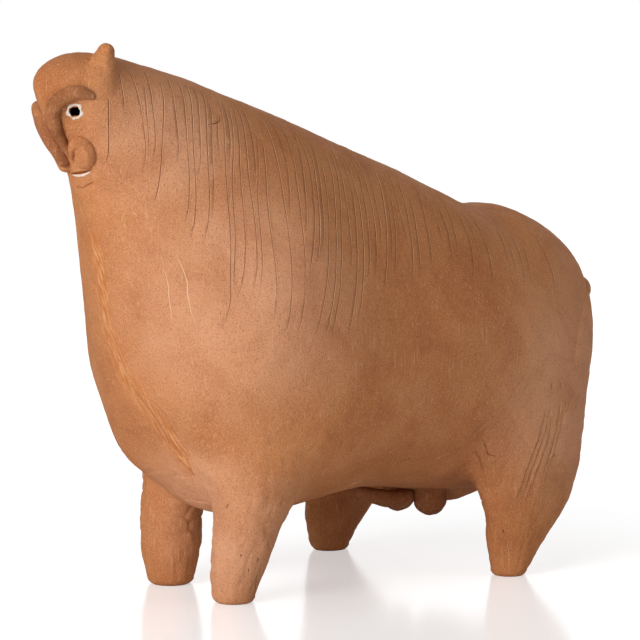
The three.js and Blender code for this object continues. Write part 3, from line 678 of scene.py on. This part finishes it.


# Tool marks: cut into the wet clay piece by piece. Each is a piece, the courses of its marks through rough
# spots on the skin, how deep and half how wide they are, and how much painted shade darkens the cut (where
# negative, how much lighter it is: painted highlight on ridges and the pale clay of scratches).
tool_marks = [
    # The near thigh was drawn down with a fork, which left furrows with ridges between them; the furrows are
    # darkened with painted shade, and the shallow lines beside them are lightened as a painted highlight on
    # the ridges
    ("leg_hind_left_stub", [
        [(119, 167, 138), (116, 163, 115), (114, 153, 90), (112, 144, 67)],
        [(118, 171, 134), (116, 168, 112), (114, 158, 88), (113, 147, 65)],
        [(119, 163, 137), (116, 158, 114), (114, 147.5, 90), (111, 140, 68)],
        [(118, 181, 147), (116, 178, 124), (115, 173, 103), (115, 165, 86)],
        [(117, 189, 149), (116, 184, 128), (114, 177, 101), (115, 168, 79)],
        [(111, 210, 152), (111, 206, 143), (113, 200, 136)],
        [(115, 197, 152), (116, 193, 143), (116, 189, 135)],
        [(121, 177, 165), (120, 180, 158)]], 0.7, 0.5, 0.42),
    ("leg_hind_left_stub", [
        [(119, 169, 138), (116, 165, 115), (114, 155, 90), (112, 146, 67)],
        [(119, 165, 137), (116, 160, 114), (114, 150, 90), (111, 142, 68)],
        [(118, 174, 140), (116, 171, 116), (114, 162, 92), (113, 152, 70)],
        [(117, 186, 148), (116, 182, 126), (114, 176, 101), (115, 167, 80)]], 0.3, 0.4, -0.6),
    ("leg_hind_left_stub", [
        [(103, 129, 41), (104, 130, 38)], [(90, 125, 28), (90, 126, 26)],
        [(121, 167, 164), (121, 168, 158)]], 0.9, 0.6, 0.8),
    # A drying crack and pits in the near front foot, darkened inside with painted shade
    ("leg_front_left_stub", [
        [(75, -107, 29), (72, -108, 22), (68, -107, 15), (65, -106, 8), (63.5, -106, 4)],
        [(48, -133, 26), (48, -133, 24)], [(74, -118, 30), (74, -118, 28)], [(78, -112, 39), (79, -111, 36)],
        [(73, -126, 43), (74, -125, 41)], [(68, -131, 84), (66, -132, 80)]], 1.2, 0.6, 1),
    # A nick and a fold where the near thigh meets the belly, both darkened with painted shade; the fold's
    # broad dark band paints the shade in that corner
    ("leg_hind_left_stub", [
        [(104, 106, 118), (101, 112, 111), (100, 115, 105), (101, 118, 104), (103, 121, 103)]],
     0.8, 0.6, 0.6),
    ("leg_hind_left_stub", [[(96, 103, 108), (95, 110, 102), (94, 113, 96), (94, 115, 90)]], 1, 1.8, 0.25),
    # Two white scratches and a dark mark on the neck
    ("neck_wall", [[(65, -182, 283), (66, -180, 277), (69, -178, 270), (71, -176, 261), (71, -176, 253),
                    (72, -175, 245), (72, -173, 238), (74, -171, 230)]], 0.25, 0.5, -2),
    ("neck_wall", [[(55, -188, 273), (57, -186, 266), (58, -185, 259), (58, -184, 247), (58, -182, 237),
                    (57, -180, 229)]], 0.25, 0.45, -1.7),
    ("neck_wall", [[(55, -144, 382), (55, -138, 383), (54, -132, 384), (50, -127, 388)]], 0.4, 0.7, 1),
    # Creases over the thigh, and light grains on the flank
    ("hindquarters_wall", [
        [(125, 137, 176), (124, 128, 167), (122, 119, 155), (118, 108, 143)]], 0.4, 1.3, 0.12),
    ("hindquarters_wall", [[(124, 140, 168), (121, 131, 155)]], 0.4, 1, 0.12),
    ("hindquarters_wall", [[(121, 153, 221), (121, 153.5, 219)]], 0.6, 0.7, -1),
    ("barrel_wall", [[(130, -83, 201), (130, -83, 199)]], 0.4, 0.6, -1.2),
    ("barrel_wall", [[(131, -50, 194), (131, -50, 192)]], 0.4, 0.6, -1.2),
    # Light lines along the belly's edge, a small crack over them, and a crease towards the thigh
    ("barrel_wall", [[(60, -11, 83), (64, -4, 86), (68, 4, 89), (67, 22, 90)]], 0.4, 0.9, -1.2),
    ("barrel_wall", [[(58, 2, 84), (58, 17, 86), (59, 33, 87)]], 0.4, 0.9, -1.2),
    ("barrel_wall", [[(50, 22, 82), (49, 40, 83), (58, 52, 86)]], 0.4, 0.9, -1.2),
    ("barrel_wall", [[(84, 67, 102), (88, 72, 105), (93, 76, 110)]], 0.3, 0.6, -0.9),
    ("barrel_wall", [[(90, 28, 106), (88, 34, 106), (89, 37, 107), (88, 41, 106)]], 0.5, 0.4, 0.8),
    ("barrel_wall", [[(105, 90, 122), (109, 95, 128), (112, 99, 133), (115, 103, 136)]], 0.4, 0.5, 0.3),
    # Furrows and ridges of the scrape down the chest, and a tick on the cheek
    ("neck_wall", [[(-3, -198, 244), (-7, -190, 218), (-2, -182, 193), (6, -178, 176)]], 0.35, 0.5, -0.6),
    ("neck_wall", [[(0, -179, 179), (11, -174, 165), (21, -166, 146), (21, -155, 126)]], 0.5, 0.8, 0.35),
    ("neck_wall", [[(4, -176, 170), (15, -169, 153), (18, -162, 140), (21, -153, 122)]], 0.35, 0.5, -0.6),
    ("neck_wall", [[(11, -176, 171), (30, -169, 157), (33, -160, 140), (38, -149, 121)]], 0.45, 0.7, 0.3),
    ("neck_wall", [[(35, -170, 160), (43, -159, 142), (44, -153, 132)]], 0.3, 0.5, -0.5),
    ("neck_wall", [[(-23, -191, 230), (-20, -187, 212), (-7, -182, 191)]], 0.3, 0.5, -0.4),
    ("head_wall", [[(40, -205, 315), (42, -203, 312)]], 0.3, 0.5, -1.5)]
for name, lines, depth, half_width, mark in tool_marks:
    scratched(bpy.data.objects[name], lines, depth, half_width, mark)


# Coils rolled between wet palms have a denser skin that fired a little darker than the scraped body; the rest
# of this copy's darkness is painted shade: on the coils for how they face the light, on the balls and sheath
# for the shadow under the belly
coil_clay_and_painted_shade = terracotta.copy()
coil_clay_and_painted_shade.name = "wet_smoothed_terracotta"
for element, colour in zip(coil_clay_and_painted_shade.node_tree.nodes["kiln_colour"].color_ramp.elements,
                           ("#85502F", "#965C39", "#A86D48")):
    element.color = linear(colour)


# Underside: two balls of clay pressed on side by side behind a short tapering roll, the sheath. They were
# stuck on late, so the joins are left sharper than the legs'.
def lump_rings(root, tip, root_radius, tip_radius, reach_back, sides=40, squash=1.0, flat_way=None):
    """Rings from the round tip of a lump back along its axis, as far as reach_back of its length."""
    span = tip - root
    way = span / np.linalg.norm(span)
    first = unit(np.cross(way, flat_way if flat_way is not None else (0.3, 1, 0.2)))
    second = np.cross(way, first) * squash
    around = np.linspace(0, 2 * np.pi, sides, endpoint=False)
    spoke = first * np.cos(around)[:, None] + second * np.sin(around)[:, None]
    rings = [tip + tip_radius * (np.cos(t) * way + np.sin(t) * spoke)
             for t in np.radians([8, 20, 32, 44, 56, 68, 80])]
    for part in np.linspace(0, reach_back, 6):
        rings.append(tip - part * span + (tip_radius + (root_radius - tip_radius) * part) * spoke)
    return rings


def cone_distance(points, root, tip, root_radius, tip_radius, squash=1.0, flat_way=None):
    span = tip - root
    part = np.clip((points - root) @ span / (span @ span), 0, 1)
    off = points - root - part[:, None] * span
    if flat_way is not None:
        way = unit(flat_way - (flat_way @ span) / (span @ span) * span)
        off = off + (off @ way)[:, None] * way * (1 / squash - 1)
    return np.linalg.norm(off, axis=1) - (root_radius + (tip_radius - root_radius) * part)


def rolled(path, radii, ways_up, flatten=1.0, sides=26, steps=9, uneven=0.25):
    """A coil rolled between the palms, laid along a path, its ends rounded; returns points and faces."""
    path, radii, ways_up = (np.asarray(v, float) for v in (path, radii, ways_up))
    stops = np.linspace(0, len(path) - 1, (len(path) - 1) * steps + 1)
    centres, thick, lifts = along(path, stops), along(radii, stops), unit(along(ways_up, stops))
    ways = unit(np.gradient(centres, axis=0))
    ends = np.radians([80, 62, 44, 26, 10])
    centres = np.concatenate([
        centres[0] - ways[0] * thick[0] * np.sin(ends)[:, None], centres,
        centres[-1] + ways[-1] * thick[-1] * np.sin(ends[::-1])[:, None]])
    thick = np.concatenate([thick[0] * np.cos(ends), thick, thick[-1] * np.cos(ends[::-1])])
    lifts = np.concatenate([np.repeat(lifts[:1], 5, 0), lifts, np.repeat(lifts[-1:], 5, 0)])
    ways = np.concatenate([np.repeat(ways[:1], 5, 0), ways, np.repeat(ways[-1:], 5, 0)])
    lifts = unit(lifts - (lifts * ways).sum(-1, keepdims=True) * ways)
    across = np.cross(lifts, ways)
    around = np.linspace(0, 2 * np.pi, sides, endpoint=False)
    rings = []
    for centre, r, lift, side in zip(centres, thick, lifts, across):
        ring = centre + r * (np.cos(around)[:, None] * side + flatten * np.sin(around)[:, None] * lift)
        dents = np.array([noise.noise(Vector(p) * 0.11) + 0.5 * noise.noise(Vector(p) * 0.3) for p in ring])
        rings.append(ring + unit(ring - centre) * (uneven * dents - uneven * 0.4)[:, None] * min(1, r / 3))
    return close_rings(rings, centres[0], centres[-1])


for name, centre, radius in (
        ("testicle_left", (14, 127, 57), 14.5), ("testicle_right", (-22, 122, 57), 14.5)):
    middle = np.array(centre, float)
    root, tip = middle + (0, 0, 6), middle
    rings = lump_rings(root, tip, radius, radius, 0.9)
    rings = press_on(rings, lambda points: cone_distance(points, root, tip, radius, radius), 3, 0.7, 14, 60)
    for ring in rings[:-3]:
        ring += unit(ring - middle) * roughen(ring, 0.5)[:, None]
    points, faces = close_rings(rings, rings[0].mean(axis=0), rings[-1].mean(axis=0))
    # Painted shade: the balls take the darker clay for the shadow under the belly.
    stand_for(make_piece(f"{name}_ball", points, faces, coil_clay_and_painted_shade), name)

sheath_path = [(3, 108, 58), (1, 96, 58), (0, 80, 61), (0, 64, 66), (0, 56, 69)]
points, faces = rolled(sheath_path, [8, 8, 7, 5.5, 3.5], [(0, 0, 1)] * 5)
# The sheath takes the darker clay, partly as painted shade under the belly.
stand_for(make_piece("sheath_roll", points, faces, coil_clay_and_painted_shade), "sheath")


# Tail: a thin strip of clay smeared down from the rump's ridge on to the left flank, where it widens into
# a flat leaf-shaped tuft that is thumbed down nearly level with the skin.
def smeared(course, half_widths, heights, samples=19, steps=10):
    """A low strip along (frame, angle in degrees) stops, thumbed out to nothing at both edges."""
    course, half_widths, heights = (np.asarray(v, float) for v in (course, half_widths, heights))
    stops = np.linspace(0, len(course) - 1, (len(course) - 1) * steps + 1)
    drawn, wide, high = along(course, stops), along(half_widths, stops), along(heights, stops)
    spine = skin(drawn[:, 0], np.radians(drawn[:, 1]))
    normals = skin_normal(drawn[:, 0], np.radians(drawn[:, 1]))
    across = unit(np.cross(normals, np.gradient(spine, axis=0)))
    ends = np.minimum(1, np.minimum(stops, len(course) - 1 - stops) * 2.5 + 0.02) ** 0.5
    rings = []
    for centre, side, width, height, end in zip(spine, across, wide, high, ends):
        upper, lower = [], []
        for share in np.linspace(-1, 1, samples):
            place, normal, _, _ = skin_tree.find_nearest(centre + side * width * share * end)
            edge = 1 - abs(share) ** 2.4
            rise = height * edge * end - 0.5 * (1 - edge) - 0.5 * (1 - end)
            upper.append(tuple(place + normal * rise))
            lower.append(tuple(place - normal * 4))
        rings.append(np.array(upper + lower[::-1]))
    return close_rings(rings, rings[0].mean(axis=0), rings[-1].mean(axis=0))


points, faces = smeared([(0.55, 4), (0.5, 25), (0.75, 42), (1.1, 56), (1.45, 66)],
                        [7, 6, 5, 4.5, 4], [4, 4, 3.4, 3, 2.6])
stand_for(make_piece("tail_strip", points, faces, terracotta), "tail")
points, faces = smeared([(1.4, 64), (1.75, 74), (2, 83), (2.2, 93), (2.35, 102)],
                        [3.5, 8, 10.5, 9, 3.5], [2, 2.2, 2.2, 1.8, 0.9])
stand_for(make_piece("tail_leaf", points, faces, terracotta), "tail_tuft")


# Brow coils: two coils rolled between the palms, hooked over the eyes and run down the nose side by side.
# The far coil sits lower and stands further off the skin.
eye_height = 393


def on_head(heading, height):
    way = Vector((np.sin(np.radians(heading)), -np.cos(np.radians(heading)), 0))
    place, normal, _, _ = skin_tree.ray_cast(Vector((0, -205, height)) + way * 200, -way)
    return np.array(place), np.array(normal)


# Each stop of a coil: heading, height over the near eye, radius, and how far its middle lies off the skin
brows = {
    "left": [(43.5, 12, 3, 1), (37, 14, 4.8, 1.7), (30, 14.7, 5.7, 2.1), (22.5, 12.8, 6, 2.3),
             (15.5, 8.5, 6, 2.3), (11, 3.5, 6.1, 2.8), (8, -3, 5.9, 2.9), (6.5, -10, 5.3, 2.9),
             (5.5, -17, 4.6, 2.7), (5, -24, 3.9, 2.4), (6, -30.5, 3.2, 1.9), (9, -35.5, 2.6, 1.4)],
    "right": [(-48, 2.5, 3.2, 3.6), (-41, 4.2, 4.2, 5), (-35, 3.5, 4.4, 4.8), (-29.5, 0, 4.4, 4.2),
              (-25.5, -6, 4.6, 3.8), (-22.5, -12.5, 4.8, 3.6), (-20.5, -19, 4.9, 3.5), (-19, -26, 4.8, 3.3),
              (-18, -32.5, 4.4, 2.8), (-17.5, -38.5, 4, 2.2)]}
for side, stops in brows.items():
    spots = [on_head(heading, eye_height + over_eye) for heading, over_eye, _, _ in stops]
    path = [place + normal * stop[3] for (place, normal), stop in zip(spots, stops)]
    points, faces = rolled(path, [stop[2] for stop in stops], [normal for _, normal in spots],
                           0.95 if side == "left" else 1.4)
    # The coils take the darker clay, partly as painted shade for how they face the light.
    stand_for(make_piece(f"brow_roll_{side}", points, faces, coil_clay_and_painted_shade), f"brow_coil_{side}")


# Nostrils: a coil curled up on itself into a disc on each side of the nose. The crease where it turns in
# starts as a deep slot on the nose side and runs out over the middle.
crease = np.array([(0.76, -0.5), (0.66, -0.28), (0.5, -0.02), (0.26, 0.16), (0.04, 0.24), (-0.2, 0.2)])
crease_depth, crease_width = [3.4, 5.0, 3.4, 2.4, 1.6, 0.2], [0.9, 0.9, 1.2, 2.0, 2.8, 3.2]
curls = {"left": (25.5, 31.5, 11.8, 14.2), "right": (-36, 37.5, 11, 11.5)}
for side, (heading, under_eye, half_width, half_height) in curls.items():
    centre, normal = on_head(heading, eye_height - under_eye)
    noseward = np.array((-np.sign(heading), 0, 0)) + normal * normal[0] * np.sign(heading)
    noseward = unit(noseward)
    upward = np.cross(normal, noseward)
    upward = upward * np.sign(upward[2])
    around = np.linspace(0, 2 * np.pi, 120, endpoint=False)
    stops = np.linspace(0, 5, 80)
    line = along(crease, stops) * (half_width, half_height)
    depths, widths = along(crease_depth, stops), along(crease_width, stops)
    rings = []
    for out in (*np.arange(0.04, 0.84, 0.035), 0.86, 0.89, 0.915, 0.94, 0.96, 0.975, 0.988, 0.996):
        flat = out * np.stack([half_width * np.cos(around), half_height * np.sin(around)], -1)
        rim = 1.1 * np.exp(-((out - 0.74) / 0.15) ** 2) * (0.75 - 0.45 * np.cos(around + 0.5))
        rise = 6.0 * (1 - out ** 3.4) ** 0.5 + rim - 0.5
        away = np.linalg.norm(flat[:, None] - line[None], axis=2)
        nearest = away.argmin(axis=1)
        groove = depths[nearest] * np.exp(-(away.min(axis=1) / widths[nearest]) ** 2)
        bump = 0.9 * np.exp(-((flat[:, 0] + 0.5) ** 2 + (flat[:, 1] + 4.5) ** 2) / 14)
        lift = rise - groove + bump
        rings.append(centre + flat[:, :1] * noseward + flat[:, 1:] * upward + lift[:, None] * normal)
    foot = rings[-1] - normal * 5
    points, faces = close_rings(rings + [foot], rings[0].mean(axis=0), centre - normal * 5)
    stand_for(make_piece(f"nostril_roll_{side}", points, faces, terracotta), f"nostril_curl_{side}")


# Ears: a stub pinched up from a pad of clay on each side of the crown, dented with a thumb under the tip.
# Only the near ear shows; the far one leans lower, as a guess.
ears = {"left": ((21, -225, 416), (25.3, -219.4, 438.4), 17, 7.2),
        "right": ((-34, -217, 410), (-41, -214, 424), 12, 6.3)}
for side, (root, tip, root_radius, tip_radius) in ears.items():
    root, tip = np.array(root, float), np.array(tip, float)
    facing = np.array((0.5 if side == "left" else -0.5, -1, 0))
    thumb = unit(np.array((0.77 if side == "left" else -0.77, -0.64, 0)))
    crest = unit(np.array((0.9 if side == "left" else -0.9, -0.3, 0)))
    rings = lump_rings(root, tip, root_radius, tip_radius, 0.42, 48, 0.85, facing)
    rings = press_on(
        rings, lambda points: cone_distance(points, root, tip, root_radius, tip_radius, 0.85, facing),
        3.5, 0.7, 16, 60)
    hollow = tip * 0.4 + root * 0.6 + thumb * 12
    for ring in rings[:-3]:
        inward = unit(ring.mean(axis=0) - ring)
        pressed = 3 * np.exp(-(np.linalg.norm((ring - hollow) * (1, 1, 1.5), axis=1) / 4.5) ** 2)
        ridge = 1.3 * np.exp(-np.arccos(np.clip(-inward @ crest, -1, 1)) / 0.4)
        ring += inward * (pressed - ridge + 0.35 * roughen(ring * 2, 1))[:, None]
    points, faces = close_rings(rings, rings[0].mean(axis=0), rings[-1].mean(axis=0))
    stand_for(make_piece(f"ear_stub_{side}", points, faces, terracotta), f"ear_{side}")


# White slip: liquid clay brushed on round each eye hole and along the lower lip. It is thin, matte and
# uneven, so a little terracotta shows through at its edges.
white_slip = bpy.data.materials.new("brushed_white_slip")
white_slip.use_nodes = True
tree = white_slip.node_tree
shader = tree.nodes["Principled BSDF"]
place_in = add_node(tree, "ShaderNodeTexCoord").outputs["Object"]
brushed = add_node(tree, "ShaderNodeTexNoise", inputs={
    "Vector": place_in, "Scale": 700, "Detail": 4, "Roughness": 0.7})
thin = add_node(tree, "ShaderNodeMapRange", inputs={
    "Value": brushed.outputs["Fac"], "From Min": 0.52, "From Max": 0.66, "To Max": 0.8})
slip_colour = add_node(tree, "ShaderNodeMix", {"data_type": "RGBA"}, {
    "Factor": thin.outputs["Result"], 6: linear("#D8CEC2"), 7: linear("#C89470")})
tree.links.new(slip_colour.outputs[2], shader.inputs["Base Color"])
shader.inputs["Roughness"].default_value = 0.6
slip_bump = add_node(tree, "ShaderNodeBump", inputs={
    "Height": brushed.outputs["Fac"], "Strength": 0.6, "Distance": 0.0003})
tree.links.new(slip_bump.outputs["Normal"], shader.inputs["Normal"])


head_wall = bpy.data.objects["head_wall"]
for side, heading, under_eye in (("left", 27, 0), ("right", -44, 11)):
    # Eye hole: pushed through the wall with the end of a squarish stick.
    centre, normal = on_head(heading, eye_height - under_eye)
    sideways = unit(np.cross((0, 0, 1), normal))
    upward = np.cross(normal, sideways)
    around = np.linspace(0, 2 * np.pi, 40, endpoint=False)
    squarish = 1 / (np.abs(np.cos(around)) ** 3 + np.abs(np.sin(around)) ** 3) ** (1 / 3)
    squarish *= 1 + 0.1 * np.sin(3 * around + 1) * np.sin(5 * around)
    outline_of_hole = (4.3 * squarish * np.cos(around))[:, None] * sideways \
        + (3.7 * squarish * np.sin(around))[:, None] * upward
    inward = unit(-normal - (0, 0, 0.3)) / 22
    rings = [centre + outline_of_hole * wide + inward * deep
             for deep, wide in ((-132, 1.1), (0, 1), (484, 0.86))]
    points, faces = close_rings(rings, centre - inward * 132, centre + inward * 484)
    cut_out(head_wall, points, faces)

    # Slip ring: brushed freehand, so both its edges wander; it lies a hair over the skin.
    wander = np.array([noise.noise(Vector((np.cos(t) * 1.6, np.sin(t) * 1.6, heading))) for t in around])
    wander_out = np.array([
        noise.noise(Vector((np.cos(t) * 1.9, np.sin(t) * 1.9, heading + 4))) for t in around])
    rings = []
    for out, rise in ((0, -1.2), (0, 0.25), (0.12, 0.5), (0.5, 0.62), (0.88, 0.5), (1, 0.2), (1, -1.2)):
        reach = (4.5 + 0.7 * wander) * (1 - out) + (6.5 + 2.2 * wander_out) * out
        flat = centre + reach[:, None] * (
            np.cos(around)[:, None] * sideways + np.sin(around)[:, None] * upward)
        ring = []
        for point in flat:
            place, slope, _, _ = skin_tree.find_nearest(point)
            ring.append(np.array(place) + np.array(slope) * rise)
        rings.append(np.array(ring))
    count = len(around)
    points = np.concatenate(rings)
    faces = [(row * count + k, row * count + (k + 1) % count,
              (row + 1) % len(rings) * count + (k + 1) % count, (row + 1) % len(rings) * count + k)
             for row in range(len(rings)) for k in range(count)]
    stand_for(make_piece(f"slip_ring_{side}", points, faces, white_slip), f"eye_ring_{side}")

# Mouth: one shallow slit drawn sideways with a blade, and a softer crease for the chin under it.
def blade_cut(stops, half_heights, depth):
    """Pushes a lens-sectioned blade into the head along (heading, height) stops."""
    stops, half_heights = np.asarray(stops, float), np.asarray(half_heights, float)
    where = np.linspace(0, len(stops) - 1, (len(stops) - 1) * 8 + 1)
    drawn, halves = along(stops, where), along(half_heights, where)
    rings = []
    for (heading, height), half in zip(drawn, halves):
        place, normal = on_head(heading, height)
        flat = unit(normal * (1, 1, 0))
        rings.append(np.array([
            place + flat * 3 + (0, 0, half * 1.6), place + (0, 0, half), place - flat * depth,
            place - (0, 0, half), place + flat * 3 - (0, 0, half * 1.6)]))
    points, faces = close_rings(rings, rings[0].mean(axis=0), rings[-1].mean(axis=0))
    cut_out(head_wall, points, faces)


blade_cut([(-31, 344), (-15, 344.3), (0, 344.6), (14, 345.4), (26, 346.4), (37, 348)],
          [0.2, 0.7, 0.9, 0.9, 0.8, 0.2], 4)
blade_cut([(-26, 334.5), (-10, 333.4), (6, 333.2), (22, 335.4), (38, 338.4)], [0.2, 0.9, 1.1, 1, 0.2], 1.3)

# Lip: a narrow band of slip along the lower edge of the mouth.
lip_stops = [(-20, 343), (-8, 342.6), (4, 342.8), (16, 343.4), (28, 345), (34, 346.2)]
stops = np.linspace(0, 5, 51)
drawn = along(np.asarray(lip_stops, float), stops)
rings = []
for (heading, height), part in zip(drawn, stops / 5):
    half = 0.85 * (np.sin(np.pi * np.clip(part, 0.02, 0.98)) ** 0.45) \
        * (1 + 0.25 * noise.noise(Vector((part * 9, 3, 1))))
    ring = []
    for up, rise in ((1, -1.2), (1, 0.3), (0.5, 0.5), (-0.5, 0.5), (-1, 0.3), (-1, -1.2)):
        place, normal = on_head(heading, height + up * half)
        ring.append(place + normal * rise)
    rings.append(np.array(ring))
points, faces = close_rings(rings, rings[0].mean(axis=0), rings[-1].mean(axis=0))
stand_for(make_piece("slip_lip", points, faces, white_slip), "lip_slip")
